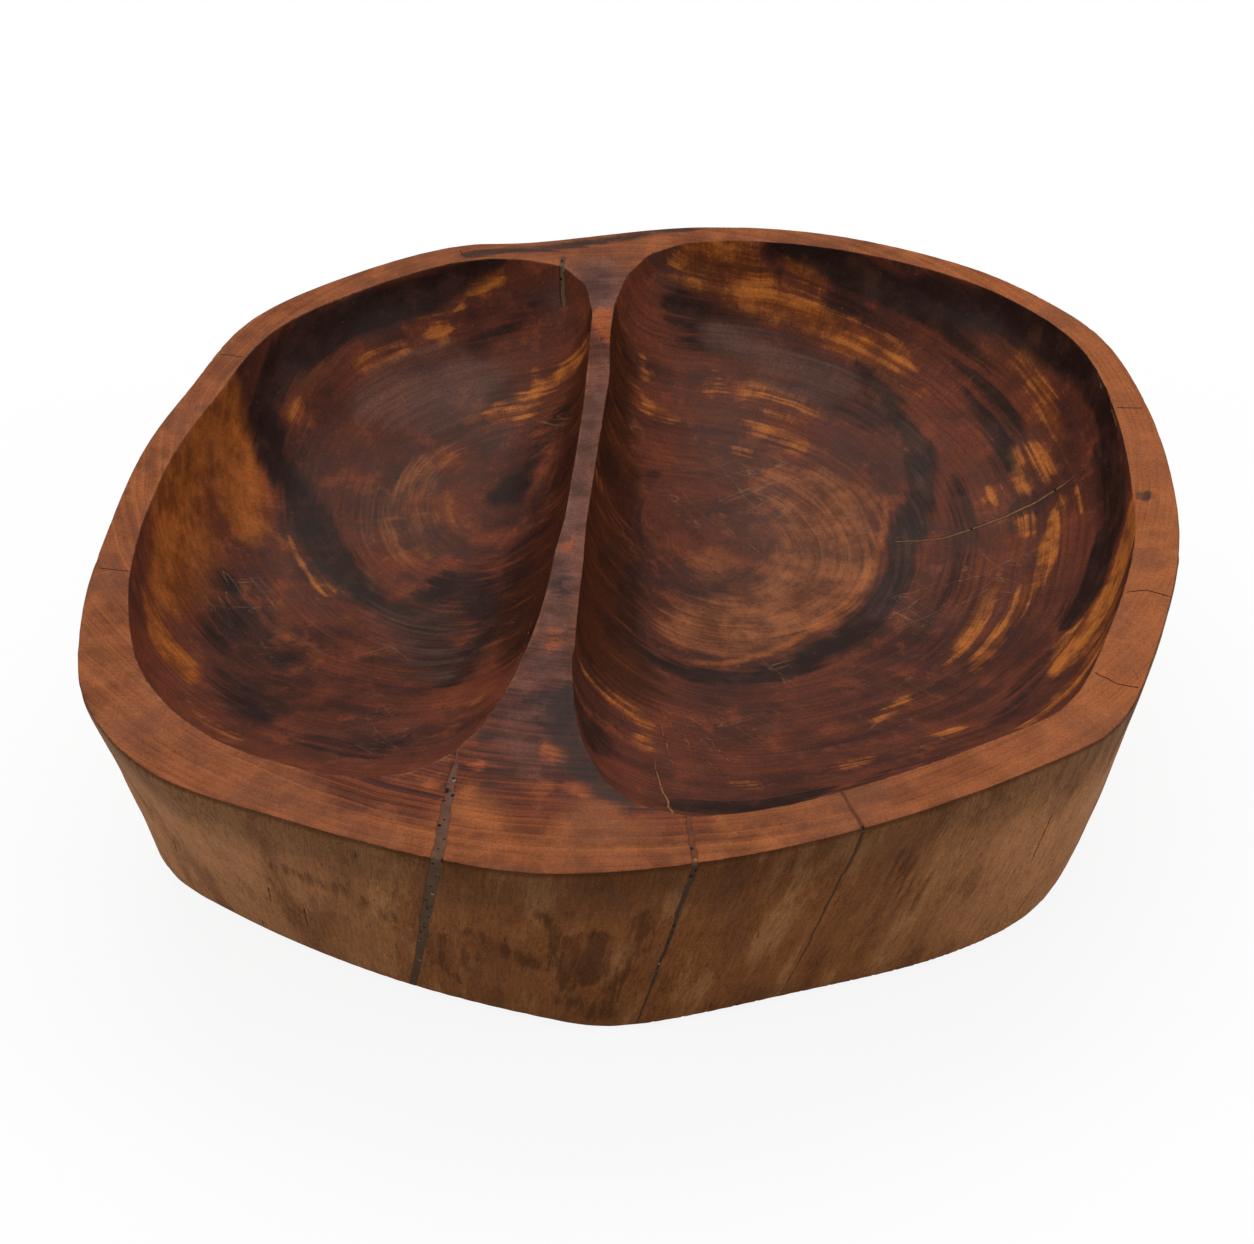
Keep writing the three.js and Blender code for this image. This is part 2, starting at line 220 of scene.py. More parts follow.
def check_sheet(name, path, foot, top, lean, widths, taper, wobble, slimmer):
    """Wavy upright solid along a plan path, all in mm, with its widths at start and end and its foot's
    share of them."""
    path = np.array(path) * mm
    runs = np.concatenate([[0], np.cumsum(np.hypot(*np.diff(path, axis=0).T))])
    columns = max(int(runs[-1] / (sheet_step * mm)), 4)
    rows = max(int((top - foot) / sheet_step), 4)
    bpy.ops.object.select_all(action="DESELECT")
    bpy.ops.mesh.primitive_grid_add(x_subdivisions=columns, y_subdivisions=rows, size=1)
    sheet = bpy.context.active_object
    sheet.name = name
    share = places(sheet)[:, :2] + 0.5
    run = share[:, 0] * runs[-1]
    z = (foot + share[:, 1] * (top - foot)) * mm
    x = np.interp(run, runs, path[:, 0]) + lean * lean_slope * (z - rim_height)
    y = np.interp(run, runs, path[:, 1])
    put_places(sheet, np.column_stack([x, y, z]))
    outer, inner, at_foot = widths
    width = outer + (inner - outer) * share[:, 0]
    width *= at_foot + (1 - at_foot) * np.clip(z / rim_height, 0, 1)
    width *= np.clip((1 - share[:, 0]) / taper, slimmest, 1)
    widest = width.max()
    group = sheet.vertex_groups.new(name="width")
    for index, share_of_width in enumerate(width / widest):
        group.add([index], share_of_width, "REPLACE")
    apply_modifier(
        sheet, "DISPLACE", texture=check_wobble, texture_coords="LOCAL",
        strength=wobble * mm, mid_level=0.5,
    )
    apply_modifier(
        sheet, "SOLIDIFY", thickness=(widest - slimmer) * mm, offset=0, vertex_group="width",
        thickness_vertex_group=0,
    )
    return sheet


def fill_check(name, path, foot, top=76, lean=1, widths=(1, 1, 1), taper=0.1, wobble=1.2):
    """Cuts a check out of the dish and returns the bead of filler that closes it."""
    slot = check_sheet(name + "_slot", path, foot, top, lean, widths, taper, wobble, 0)
    apply_modifier(dish, "BOOLEAN", operation="DIFFERENCE", object=slot, solver="MANIFOLD")
    bpy.data.objects.remove(slot)
    bead = check_sheet(name, path, foot, top, lean, widths, taper, wobble, bead_room)
    apply_modifier(bead, "BOOLEAN", operation="INTERSECT", object=whole_dish, solver="MANIFOLD")
    return bead


front_left_bead = fill_check(
    "front_left_bead", [(-48.5, -146), (-44.1, -97)], foot=-4, widths=(3.2, 1.5, 0.85), taper=0.25,
)
front_centre_bead = fill_check(
    "front_centre_bead", [(12.7, -147), (7, -73.5)], foot=-4, widths=(1.5, 0.25, 0.3),
)
front_right_bead = fill_check(
    "front_right_bead", [(54.3, -135), (46.2, -111)], foot=-4, widths=(1.1, 0.45, 0.3),
)
back_bead = fill_check(
    "back_bead", [(-22.5, 125.6), (-23.1, 120.8), (-22.2, 113.6)], foot=50, lean=0,
    widths=(1.2, 1.2, 1), wobble=0.6,
)
right_bay_bead = fill_check(
    "right_bay_bead", [(71.5, 40), (84, 39.5), (96.5, 42), (111.5, 44.5), (121.5, 45.75)],
    foot=24, top=74, lean=0, widths=(0.5, 0.8, 1), wobble=0.8,
)
bpy.data.objects.remove(whole_dish)
beads = {
    "front_left_check_filler": front_left_bead,
    "front_centre_check_filler": front_centre_bead,
    "front_right_check_filler": front_right_bead,
    "back_check_filler": back_bead,
    "right_bay_check_filler": right_bay_bead,
}

# Open hairlines and scratches: fine drying cracks that were never filled, and pale marks of use.
# Each is a thin round groove along points (mm) on the dish, painted dark as shade in the cracks and pale
# in the marks.
hairlines = {
    "right rim, upper": [(129.6, 47.4, 71.5), (134.5, 47.2, 72), (142, 47, 71)],
    "right rim, middle": [
        (123.5, -36.2, 71.5), (128.7, -35.2, 72), (134.6, -38, 72), (137, -38.6, 68),
    ],
    "right rim, lower": [(111, -68, 71.5), (117.1, -73.4, 72), (122, -74.8, 72), (124, -75.4, 68)],
    "left rim, back": [(-121, 74.2, 70), (-115.8, 73.6, 72), (-111.5, 72.5, 72)],
    "back rim": [(-54, 132, 70), (-53.1, 129.1, 72), (-52, 127, 72)],
    "left rim": [(-140, -25.8, 71), (-137.9, -26.3, 72), (-131, -27.4, 72)],
    "right wall, upper": [(100.4, -96, 50), (98, -94.6, 38), (96.6, -93.7, 31.5)],
    "right wall, lower": [(99.2, -87.6, 17.8), (97.5, -87.7, 13.4), (95.2, -88.1, 8.6)],
    "left wall, upper": [(-92.1, -104.8, 32.9), (-92.2, -100.8, 24.5)],
    "left wall, lower": [(-83.5, -107.1, 28.3), (-83.3, -102.6, 18.1)],
    "left wall, foot": [(-96.6, -91, 9), (-96.6, -89, 4)],
    "far left, upper": [(-122.6, -84.2, 41.7), (-123, -81.4, 35.2)],
    "far left, lower": [(-117.5, -84.5, 31.3), (-117.9, -80.4, 22.8)],
}
scratches = {
    "edge of the front flat": [
        (-29.2, -22, 52.6), (-34.5, -59, 59.7), (-40.6, -78.3, 63), (-44.5, -92, 70),
    ],
    "front slope, long": [(1, -43, 43), (8.5, -55, 42.5), (14, -66, 43.5), (23, -81, 47)],
    "front slope, short": [(12.5, -47, 40), (18, -59, 41.5), (22.5, -70, 43.5)],
    "beyond the centre check": [(6.8, -75, 44), (5.5, -66, 43), (4.5, -56, 43)],
    "right floor": [(20.5, 49, 35), (26, 42, 33.5), (34.5, 33.5, 31.5)],
    "left rim chip": [(-86, -119, 72), (-83, -120.5, 72)],
    "right rim chip": [(121.5, -68, 72), (122.5, -71.5, 72)],
}
groove_step = 1.5
groove_sway, sway_pace = 0.25, 2.4
groove_end = 0.55
surface = BVHTree.FromObject(dish, bpy.context.evaluated_depsgraph_get())


def cut_grooves(name, lines, radius, material):
    """Cuts round grooves along the lines, half sunk into the surface, and gives them a material."""
    drawn = bpy.data.curves.new(name, "CURVE")
    drawn.dimensions = "3D"
    drawn.bevel_depth = radius * mm
    drawn.bevel_resolution = 1
    drawn.use_fill_caps = True
    for path in lines.values():
        path = np.array(path) * mm
        runs = np.concatenate([[0], np.cumsum(np.linalg.norm(np.diff(path, axis=0), axis=1))])
        stops = np.linspace(0, runs[-1], max(int(runs[-1] / (groove_step * mm)), 2) + 1)
        rounded = np.column_stack([np.interp(stops, runs, path[:, axis]) for axis in range(3)])
        spline = drawn.splines.new("POLY")
        spline.points.add(len(rounded) - 1)
        for number, (point, spot) in enumerate(zip(spline.points, rounded)):
            snapped = surface.find_nearest(Vector(spot))[0]
            side = groove_sway * mm * math.sin(sway_pace * number + len(lines))
            point.co = (snapped.x + side, snapped.y, snapped.z, 1)
            point.radius = groove_end if number in (0, len(rounded) - 1) else 1
    tubes = bpy.data.objects.new(name, drawn)
    bpy.context.scene.collection.objects.link(tubes)
    pick(tubes)
    bpy.ops.object.convert(target="MESH")
    tubes = bpy.context.active_object
    bpy.ops.object.mode_set(mode="EDIT")
    bpy.ops.mesh.select_all(action="SELECT")
    bpy.ops.mesh.remove_doubles(threshold=0.000005)
    bpy.ops.mesh.normals_make_consistent(inside=False)
    bpy.ops.object.mode_set(mode="OBJECT")
    tubes.data.materials.clear()
    tubes.data.materials.append(material)
    apply_modifier(
        dish, "BOOLEAN", operation="DIFFERENCE", object=tubes, solver="MANIFOLD",
        material_mode="TRANSFER",
    )
    bpy.data.objects.remove(tubes)


wood = bpy.data.materials.new("oiled_heartwood")
check_shadow = bpy.data.materials.new("open_check_painted_shade")
scratch_mark = bpy.data.materials.new("pale_scratch")
dish.data.materials.clear()
dish.data.materials.append(wood)
cut_grooves("hairlines", hairlines, radius=0.16, material=check_shadow)
cut_grooves("scratches", scratches, radius=0.14, material=scratch_mark)

# Wood figure: the heart of each trunk shows as rings round its pith with near-black and amber bands,
# and the flats of the rim as pale sapwood. The bands are laid as soft strokes of half width (mm),
# strength and plan points (mm). Some wander a little, and the shader frays them with the wood's noise.
# The grey strokes on the bays, the crest and the flats at its ends are no figure but painted sheen.
bay_dark = {
    "ring round the right heart": (4.6, 0.95, [
        (64, 105), (73, 91), (79, 77), (79, 60), (76, 44), (72, 28), (66, 12), (56, -5), (41, -15),
        (26, -24), (13, -28), (4, -24), (-4, -20), (-11, -17),
    ]),
    "grey band above the right heart": (11, 0.75, [
        (13, 125), (21, 120), (31, 116), (43, 110), (54, 103), (65, 97), (73, 87),
    ]),
    "black under the back rim": (8, 1.0, [
        (43, 134), (53, 131), (62, 127), (72, 122), (83, 117), (95, 110), (107, 101), (117, 88),
        (125, 75), (128, 61), (129, 44), (129, 29), (129, 17), (127, 11), (124, 5), (120, -5),
        (114, -16),
    ]),
    "second arc right": (6.5, 0.65, [(91, 107), (97, 98), (102, 87), (104, 75), (104, 61)]),
    "smudge right of the amber": (4, 0.6, [(38, 134), (42, 130)]),
    "smudge below the black": (9, 0.75, [(60, 126), (65, 120)]),
    "front inner edge": (5, 0.45, [
        (112, -25), (104, -32), (97, -45), (88, -63), (78, -73), (68, -82), (57, -92), (48, -98),
    ]),
    "foot of the front slope": (8, 0.9, [(8, -100), (24, -103), (42, -95)]),
    "dark right of the front flat": (9, 0.75, [(-17, -74), (-14, -73), (-13, -84)]),
    "right flank foot": (5, 0.5, [(4, 59), (0, 35), (-2, 8), (-6, -18)]),
    "right flank upper": (6, 0.6, [(-8, 91), (-6, 83), (-9, 59)]),
    "left band, back": (7, 1.0, [
        (-42, 125), (-56, 121), (-70, 112), (-84, 103), (-96, 93), (-104, 82), (-106, 70), (-103, 61),
        (-97, 54), (-94, 45), (-91, 36), (-86, 27), (-79, 19), (-71, 11),
    ]),
    "left front pool": (11, 0.8, [(-67, 8), (-57, -8), (-50, -33)]),
    "left front pool, ridge side": (9, 0.85, [(-58, 12), (-47, 16), (-38, -7), (-46, -18)]),
    "left lower smudge a": (5, 0.7, [(-113, 11), (-111, 4)]),
    "left lower smudge b": (7, 0.7, [(-107, 0), (-112, -14), (-112, -22)]),
    "left lower smudge c": (8, 0.7, [(-108, -35), (-103, -41), (-97, -55)]),
    "left lower smudge d": (6, 0.6, [(-96, -25), (-95, -17)]),
    "left lower smudge e": (8, 0.6, [(-86, -69), (-75, -75), (-61, -67)]),
    "shade right of the ring": (10, 0.42, [(92, 60), (91, 34), (85, 10), (75, -14)]),
    "eye of the left heart": (9, 0.85, [(-41, 53), (-33, 56)]),
    "shade above the eye": (7, 0.7, [(-33, 61), (-26, 70), (-21, 78)]),
    "left flank": (5, 0.6, [(-27, 52), (-31, 32), (-36, 8), (-40, -16)]),
    "dark line across the left back": (3.5, 0.6, [(-64, 99), (-53, 107), (-38, 114), (-28, 118)]),
}
bay_amber = {
    "golden streak at the back": (9, 1.0, [(13, 135), (22, 133), (33, 129), (45, 123)]),
    "amber streak, middle": (6.5, 0.95, [(43, 124), (51, 120), (60, 114), (69, 108), (77, 101)]),
    "amber streak, end": (4, 0.7, [(68, 111), (73, 105), (79, 98), (84, 93)]),
    "golden corner": (5, 0.8, [(24, 135), (31, 134)]),
    "amber beside the black": (4, 0.75, [(44, 132), (50, 129), (57, 126)]),
    "right arc, upper": (3.2, 0.9, [(107, 96), (112, 88), (115, 80), (117, 72), (119, 64)]),
    "right arc, spot": (3, 0.7, [(112, 95), (113, 92)]),
    "right mottle": (8, 0.62, [(108, 65), (113, 58), (110, 52)]),
    "right mottle, small": (3.5, 0.6, [(100, 55), (102, 51)]),
    "right mottle, outer": (4, 0.6, [(118, 42), (122, 33)]),
    "right mottle, below the line": (5, 0.65, [(105, 40), (109, 33)]),
    "right arc, lower": (3.2, 0.85, [
        (115, 36), (113, 27), (110, 19), (105, 8), (99, -4), (93, -14), (86, -25),
    ]),
    "right arc, inner": (2.8, 0.75, [(98, 13), (92, 3), (86, -12), (80, -20)]),
    "front arc": (2.6, 0.5, [(69, -35), (64, -44), (60, -51)]),
    "front red arc": (3.5, 0.4, [(73, -64), (80, -60)]),
    "front mottle": (4.5, 0.42, [(47, -78), (53, -77), (59, -75)]),
    "front mottle, low": (4, 0.36, [(22, -84), (29, -88)]),
    "wedge under the right rim": (10, 1.0, [(131, -2), (129, -5), (125, -14), (119, -27), (110, -40)]),
    "wedge, outer": (8, 0.6, [(121, -35), (112, -52), (98, -68)]),
    "mottle above the right heart": (9, 0.6, [(33, 97), (42, 91), (47, 82)]),
    "mottle, back left": (4.5, 0.6, [(21, 102), (20, 97)]),
    "mottle, middle left": (4, 0.6, [(28, 77), (30, 74)]),
    "mottle, ridge side": (5, 0.45, [(2, 83), (10, 84)]),
    "mottle, ridge side high": (3, 0.4, [(1, 101), (2, 94)]),
    "brown on the right flank": (4, 0.5, [(-13, 30), (-9, 31), (-2, 17)]),
    "amber at the flank's front": (5.5, 0.48, [(-17, -45), (-13, -50), (-4, -53), (2, -59)]),
    "amber under the flank": (5, 0.4, [(-2, -67), (3, -70)]),
    "brown beside the line": (4, 0.5, [(-99, 33), (-92, 25), (-87, 17)]),
    "red along the left rim": (4, 0.4, [(-115, -58), (-107, -67), (-99, -75)]),
    "back patch a": (3.6, 0.75, [(-50, 121), (-45, 123), (-41, 124)]),
    "back patch b": (4.5, 0.7, [(-62, 110), (-57, 113)]),
    "back patch c": (3, 0.6, [(-54, 116), (-51, 117)]),
    "back patch d": (4.5, 0.6, [(-91, 90), (-81, 98), (-69, 104)]),
    "back patch e": (4.5, 0.5, [(-96, 80), (-95, 74)]),
    "wing by the ridge, floor": (5, 0.85, [(-43, 86), (-36, 87), (-30, 90)]),
    "wing by the ridge, flank": (3.2, 0.8, [(-30, 90), (-23, 95), (-17, 95), (-13, 88)]),
    "wing by the ridge, tip": (2, 0.6, [(-30, 100), (-28, 93)]),
    "disc of the left heart": (4.5, 0.25, [
        (-65, 74), (-51, 75), (-55, 62), (-56, 49), (-48, 42), (-35, 36),
    ]),
}
bay_line = {
    "bright ring": (1.5, 0.8, [
        (70, 58), (69, 46), (66, 35), (61, 21), (54, 10), (46, 1), (38, -7), (30, -13), (21, -18),
        (13, -19), (5, -18),
    ]),
    "line on the right flank": (2.2, 0.7, [(-8, 89), (-4, 90), (3, 84), (11, 85)]),
    "line round the left bay": (1.8, 0.6, [(-110, 58), (-109, 47), (-105, 36), (-96, 29), (-88, 17)]),
    "line along the left rim": (1.8, 0.65, [
        (-122, -72), (-116, -83), (-110, -82), (-101, -100), (-92, -106), (-85, -110),
    ]),
    "line down the left flank": (0.9, 0.45, [
        (-20, 104), (-21, 81), (-24, 53), (-28, 41), (-33, 26), (-38, 2),
    ]),
    "left ray a": (1.1, 0.6, [(-80, 45), (-61, 49)]),
    "left ray b": (1, 0.5, [(-72, 54), (-60, 54)]),
    "left ray c": (1.1, 0.6, [(-72, 30), (-62, 35), (-57, 40)]),
    "left ray d": (1.1, 0.4, [(-79, 73), (-62, 66)]),
}
bay_gold = {
    "left wall, bright": (10, 0.9, [(-117, 62), (-114, 52), (-112, 40), (-108, 30)]),
    "left wall, dim": (17, 0.72, [(-122, 50), (-125, 23), (-126, 5), (-126, -12)]),
    "bright patch, left": (6, 1.0, [(-126, -34), (-120, -38), (-117, -44)]),
    "amber above the patch": (6, 0.6, [(-129, -24), (-124, -28)]),
    "left fleck a": (3, 0.4, [(-81, 29), (-75, 23)]),
    "left fleck b": (3.2, 0.4, [(-98, 8), (-95, -9)]),
    "left fleck c": (3.2, 0.36, [(-92, -20), (-91, -26)]),
    "left fleck d": (3.5, 0.34, [(-98, -37), (-93, -38)]),
    "left fleck e": (3.2, 0.36, [(-88, -12), (-86, -19)]),
    "left fleck f": (3.2, 0.4, [(-109, 10), (-108, 7)]),
    "left fleck g": (3.2, 0.36, [(-117, 13), (-115, 15)]),
    "left fleck h": (3.2, 0.36, [(-81, 6), (-78, 1)]),
    "left front streak": (3.2, 0.34, [(-57, 7), (-47, 5)]),
    "left front fleck": (2.8, 0.5, [(-43, -54), (-38, -50)]),
}
flat_dark = {
    "teal band on the front flat": (6, 0.85, [
        (-18, -74), (-20, -88), (-16, -100), (-10, -111), (-3, -119),
    ]),
    "grey at the top of the front flat": (6, 0.55, [(-27, -79), (-21, -77), (-17, -71)]),
    "stripe on the back rim": (1.9, 1.0, [
        (-52, 127), (-41, 129), (-27, 130), (-12, 134), (2, 139), (15, 141),
    ]),
    "dark on the crest": (3.5, 0.65, [(-20, -16), (-21, -27)]),
    "stain on the right rim": (2.5, 0.8, [(133, 7), (135, 4)]),
    "streak on the front flat": (3, 0.5, [(-40, -94), (-37, -96)]),
    "streak by the wide check": (3, 0.5, [(-38, -110), (-36, -112)]),
}
flat_amber = {
    "pink on the crest": (3, 0.5, [(-19, -2), (-20, -10)]),
    "pink on the crest, front": (3.5, 0.5, [(-22, -42), (-23, -54)]),
    "orange on the front flat": (3.2, 0.9, [(-24, -96), (-19, -102)]),
    "orange right of the teal": (3.5, 0.7, [(-17, -110), (-13, -116)]),
    "spot on the front flat": (2.6, 0.6, [(-41, -104), (-39, -106)]),
    "spot by the wide check": (2.6, 0.6, [(-43, -112), (-41, -115)]),
    "spot left of the wide check": (2.6, 0.6, [(-51, -110), (-50, -113)]),
    "start of the crest": (4, 1.0, [(-11, 97), (-9, 86)]),
}
flat_heart = {
    "front flat": (30, 1.0, [(-25, -62), (-24, -110)]),
    "front flat, left": (17, 1.0, [(-46, -112), (-74, -104)]),
    "front flat, right": (13, 0.75, [(0, -122), (14, -118)]),
}
# Painted sheen: the crest and the flats at its ends are painted grey where their gloss catches the
# light.
flat_painted_sheen = {
    "crest": (9, 1.0, [(-8, 96), (-17, 38), (-21, -12), (-24, -66)]),
    "back flat": (15, 1.0, [(-12, 118), (-11, 98)]),
    "front flat": (16, 0.75, [(-23, -56), (-28, -98)]),
}
# Painted sheen: a greyish cast on the bays where their gloss catches the back light.
bay_painted_sheen = {
    "ring beside the right heart": (4.5, 0.35, [
        (64, 104), (74, 90), (79, 76), (79, 60), (76, 44), (72, 28), (64, 10),
    ]),
    "back of the right bay": (9, 0.7, [(20, 118), (34, 113), (48, 106), (62, 98)]),
    "back of the left bay": (15, 0.8, [(-78, 88), (-62, 94), (-46, 98)]),
    "floor of the left bay": (12, 0.5, [(-72, 8), (-58, -12), (-52, -30)]),
}
bay_disc = {
    "right heart": (15, 1.0, [(50, 62), (54, 40), (46, 18), (28, 2), (12, -4)]),
    "right heart, inside": (14, 0.45, [(40, 70), (34, 40), (16, 18)]),
    "left heart": (15, 0.5, [(-62, 66), (-68, 48), (-60, 32)]),
}
wall_dark = {
    "core": (5, 0.85, [(-11, 47), (-12, 36), (-14, 22)]),
    "right arc": (3.5, 0.7, [(1, 55), (0, 40), (-4, 26), (-9, 13)]),
    "left arc": (3.2, 0.7, [(-22, 55), (-20, 45), (-21, 33), (-19, 18)]),
    "foot": (6, 0.6, [(-18, 12), (-8, 9)]),
    "slanting band": (4, 0.62, [(-44, 43), (-34, 37), (-25, 29)]),
    "nick": (2, 0.75, [(-46, 17), (-45, 12)]),
    "red brown": (9, 0.5, [(-50, 36), (-46, 18)]),
    "band left of the wide check": (5, 0.55, [(-88, 46), (-72, 46), (-58, 38)]),
    "patch by the right check": (7, 0.5, [(62, 56), (66, 30)]),
}

above_dish = 0.2
before_dish = -0.3


def on_top_face(path):
    """Lifts plan points in mm onto the dish as seen from above."""
    down = Vector((0, 0, -1))
    starts = [Vector((x * mm, y * mm, above_dish)) for x, y in path]
    return np.array([surface.ray_cast(start, down)[0] for start in starts])


def on_front_wall(path):
    """Puts points of width and height in mm onto the dish as seen from the front."""
    back = Vector((0, 1, 0))
    starts = [Vector((x * mm, before_dish, z * mm)) for x, z in path]
    return np.array([surface.ray_cast(start, back)[0] for start in starts])


def stroke_share(spots, strokes, lift):
    """Strongest stroke at each spot: full along its middle, half at its half width, slim at its ends."""
    share = np.zeros(len(spots))
    for half, strength, path in strokes.values():
        line = lift(path)
        lengths = np.linalg.norm(np.diff(line, axis=0), axis=1)
        ran = np.concatenate([[0], np.cumsum(lengths)])
        reach = 2 * half * mm
        close = np.all((spots > line.min(axis=0) - reach) & (spots < line.max(axis=0) + reach), axis=1)
        here = spots[close]
        gap = np.full(len(here), np.inf)
        for number, length in enumerate(lengths):
            step = line[number + 1] - line[number]
            along = np.clip((here - line[number]) @ step / length**2, 0, 1)
            beside = np.linalg.norm(here - line[number] - along[:, None] * step, axis=1)
            at = (ran[number] + along * length) / ran[-1]
            slim = 0.5 + 0.5 * np.sqrt(np.clip(np.sin(np.pi * at), 0, 1))
            gap = np.minimum(gap, beside / (slim * half * mm))
        fade = np.clip(1 - gap / 2, 0, 1)
        share[close] = np.maximum(share[close], strength * fade * fade * (3 - 2 * fade))
    return share


def paint(piece, name, domain, values):
    layer = piece.data.attributes.new(name, "FLOAT", domain)
    layer.data.foreach_set("value", np.ascontiguousarray(values, dtype=np.float32))


def swayed(spot, reach, scale):
    """Steady noise at a spot, of the given reach in mm."""
    return reach * steady_noise.noise_vector(Vector(spot) * scale)


wander_seed = 12
steady_noise.seed_set(wander_seed)
spots = places(dish)
wander = np.array([swayed(spot, 3, 45) + swayed(spot, 1.3, 150) for spot in spots]) * mm
top_spots = spots + wander * (1, 1, 0)
wall_spots = spots + wander * (1, 0, 1)
flat_spots = spots + wander * (0.3, 0.3, 0)
for name, strokes, struck, lift in (
    ("bay_dark", bay_dark, top_spots, on_top_face),
    ("bay_amber", bay_amber, top_spots, on_top_face),
    ("bay_line", bay_line, spots, on_top_face),
    ("bay_gold", bay_gold, spots, on_top_face),
    ("bay_painted_sheen", bay_painted_sheen, top_spots, on_top_face),
    ("bay_disc", bay_disc, top_spots, on_top_face),
    ("flat_dark", flat_dark, flat_spots, on_top_face),
    ("flat_amber", flat_amber, flat_spots, on_top_face),
    ("flat_heart", flat_heart, flat_spots, on_top_face),
    ("flat_painted_sheen", flat_painted_sheen, spots, on_top_face),
    ("wall_dark", wall_dark, wall_spots, on_front_wall),
):
    paint(dish, name, "POINT", stroke_share(struck, strokes, lift))

ridge_side = (spots[:, :2] + wander[:, :2] - ridge_foot) @ ridge_across / mm
ridge_run = (spots[:, :2] - ridge_foot) @ ridge_line / mm
foot_runs = (-60, -36, -17, 0, 13, 35, 52, 84, 112)
right_foot = np.interp(ridge_run, foot_runs, (30, 26, 20, 18.5, 17, 14, 12.5, 10, 10))
left_foot = np.interp(ridge_run, foot_runs, (12, 15, 19, 20, 18, 14, 10.5, 10, 9))
foot = np.where(ridge_side > 0, right_foot, left_foot)
foot_fade = 11
flank_front, front_fade = -62, 30
flank_back, back_fade = 112, 20
under_bays = 0.01
flank = np.clip((foot - np.abs(ridge_side)) / foot_fade + 0.5, 0, 1)
past_front = np.clip((ridge_run - flank_front) / front_fade, 0, 1)
flank *= past_front * np.clip((flank_back - ridge_run) / back_fade, 0, 1)
flank *= spots[:, 2] > under_bays
paint(dish, "flank", "POINT", flank)

centres = read_all(dish.data.polygons, "center")
facing = read_all(dish.data.polygons, "normal")
flat_skin = 0.0006
level, upright_or_under = 0.75, 0.02
outer_reach = 0.118
near_top = centres[:, 2] > planed_height(centres[:, 0], centres[:, 1]) - flat_skin
is_flat = near_top & (facing[:, 2] > level)
looks_out = (facing[:, :2] * centres[:, :2]).sum(axis=1) > 0
is_edge = looks_out & ~is_flat & (np.hypot(centres[:, 0], centres[:, 1]) > outer_reach)
is_wall = is_edge | (facing[:, 2] < upright_or_under)
paint(dish, "flat", "FACE", is_flat.astype(float))
paint(dish, "wall", "FACE", is_wall.astype(float))
across = (centres[:, :2] - ridge_foot) @ ridge_across
paint(dish, "right_bay", "FACE", (across > 0).astype(float))

corner_spots = read_all(dish.data.loops, "vertex_index", 1, np.int32)[:, 0]
corner_counts = read_all(dish.data.polygons, "loop_total", 1, np.int32)[:, 0]


def touched(kind):
    """Vertices that a face of this kind touches."""
    found = np.zeros(len(spots), dtype=bool)
    found[corner_spots[np.repeat(kind, corner_counts)]] = True
    return found


inner_edge = touched(is_flat) & touched(~is_flat & ~is_wall)
paint(dish, "inner_edge", "POINT", inner_edge.astype(float))


def colour(red, green, blue):
    """Linear colour for a shader from screen values of 0 to 255."""
    shares = [value / 255 for value in (red, green, blue)]
    return [s / 12.92 if s <= 0.04045 else ((s + 0.055) / 1.055) ** 2.4 for s in shares] + [1]


def add_node(tree, kind, inputs, **settings):
    made = tree.nodes.new("ShaderNode" + kind)
    for setting, value in settings.items():
        setattr(made, setting, value)
    for socket, value in inputs.items():
        if isinstance(value, bpy.types.NodeSocket):
            tree.links.new(value, made.inputs[socket])
        else:
            made.inputs[socket].default_value = value
    return made


wood.use_nodes = True
tree = wood.node_tree
wood_shader = tree.nodes["Principled BSDF"]


def painted(name):
    return add_node(tree, "Attribute", {}, attribute_name=name).outputs["Fac"]


def maths(operation, first, second=0.0, third=0.0):
    return add_node(tree, "Math", {0: first, 1: second, 2: third}, operation=operation).outputs[0]


def times(first, second):
    return maths("MULTIPLY", first, second)


def vectors(operation, first, second=(0, 0, 0)):
    made = add_node(tree, "VectorMath", {0: first, 1: second}, operation=operation)
    return made.outputs["Value" if operation == "LENGTH" else "Vector"]


def scaled(vector, scale):
    return vectors("MULTIPLY", vector, scale)


def noise(vector, scale, detail, rough):
    return add_node(tree, "TexNoise", {
        "Vector": vector, "Scale": scale, "Detail": detail, "Roughness": rough,
    }).outputs[0]


def ramp(value, low, high, to_low=0.0, to_high=1.0):
    made = add_node(
        tree, "MapRange", {0: value, 1: low, 2: high, 3: to_low, 4: to_high},
        interpolation_type="SMOOTHSTEP",
    )
    return made.outputs[0]


def blend(share, first, second):
    return add_node(tree, "Mix", {0: share, 6: first, 7: second}, data_type="RGBA").outputs[2]


def toned(base, value, low, high, most, tone):
    """Lays a tone over a colour where a value goes from low to high, up to a share of most."""
    return blend(ramp(value, low, high, 0, most), base, colour(*tone))


def total(*shares):
    """Sum of values times their weights."""
    made = 0.0
    for value, weight in shares:
        made = maths("MULTIPLY_ADD", value, weight, made)
    return made


def shaded(tint, factor):
    return add_node(tree, "VectorMath", {0: tint, "Scale": factor}, operation="SCALE").outputs[0]


def frayed(share, fringe, amount):
    """Moves the edge of a painted band in and out with the fringe, and leaves its middle alone."""
    middle = times(share, maths("SUBTRACT", 1.0, share))
    push = times(maths("SUBTRACT", fringe, 0.5), times(middle, amount))
    return ramp(maths("ADD", share, push), 0.2, 0.8)


place = add_node(tree, "TexCoord", {}).outputs["Object"]
parts = add_node(tree, "SeparateXYZ", {0: place}).outputs
flat = painted("flat")
foot_low, foot_high = 0.0004, 0.0012
wall = times(painted("wall"), ramp(parts[2], foot_low, foot_high))

